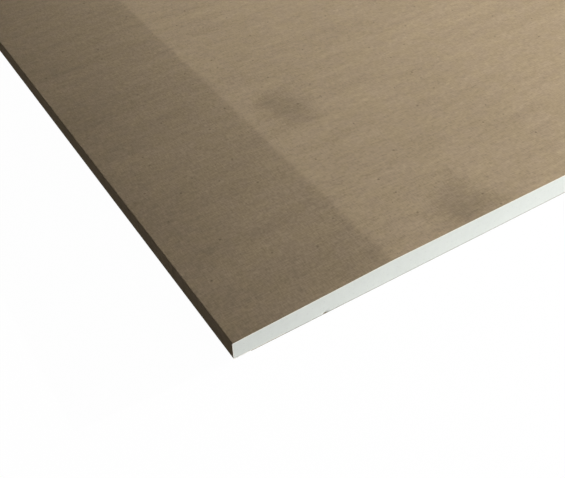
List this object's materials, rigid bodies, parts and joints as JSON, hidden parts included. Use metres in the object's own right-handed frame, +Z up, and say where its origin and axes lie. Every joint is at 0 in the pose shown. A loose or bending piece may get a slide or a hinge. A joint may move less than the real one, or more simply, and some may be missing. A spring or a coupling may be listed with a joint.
{
  "type": "tapered-edge drywall sheet",
  "caption": "Rectangular gypsum board with paper-covered faces, a shallow taper along each long edge and square-cut ends, for lining walls and ceilings.",
  "frame": {"origin": "middle of the back face, which lies on the floor", "axes": "+X across the board towards one long tapered edge, +Y along the board towards one cut end, +Z up through the face paper"},
  "size_m": [1.2, 2.5, 0.0125],
  "materials": {
    "gypsum": "matte",
    "face_paper": "matte",
    "back_paper": "matte"
  },
  "bodies": {
    "root": {"gypsum_core": "gypsum", "face_paper": "face_paper", "back_paper": "back_paper"}
  },
  "joints": []
}
